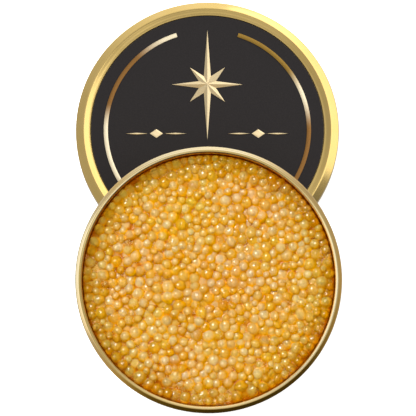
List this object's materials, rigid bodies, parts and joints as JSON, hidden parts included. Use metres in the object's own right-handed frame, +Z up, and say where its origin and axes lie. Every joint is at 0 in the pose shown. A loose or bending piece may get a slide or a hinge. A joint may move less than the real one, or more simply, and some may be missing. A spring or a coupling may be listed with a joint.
{
  "type": "tin of golden caviar",
  "caption": "Open round gold tin filled to near its rim with golden fish roe, its front edge on the table and its back leaning on its own lid, which lies face up.",
  "frame": {"origin": "on the table, under the middle of the whole", "axes": "+Y from the tin towards the lid, +Z up, +X to the right as seen from the tin's side"},
  "size_m": [0.089, 0.1434, 0.0351],
  "materials": {
    "gold_tinplate": "glossy gold lacquer on tinplate",
    "label_print": "satin black print",
    "gold_foil": "polished gold foil",
    "roe": "wet and translucent"
  },
  "bodies": {
    "root": {"tin_body": "gold_tinplate", "caviar": "roe", "tin_lid": "gold_tinplate", "label_disc": "label_print", "label_arc_left": "gold_foil", "label_arc_right": "gold_foil", "label_star": "gold_foil", "label_divider_left": "gold_foil", "label_divider_right": "gold_foil"}
  },
  "joints": []
}
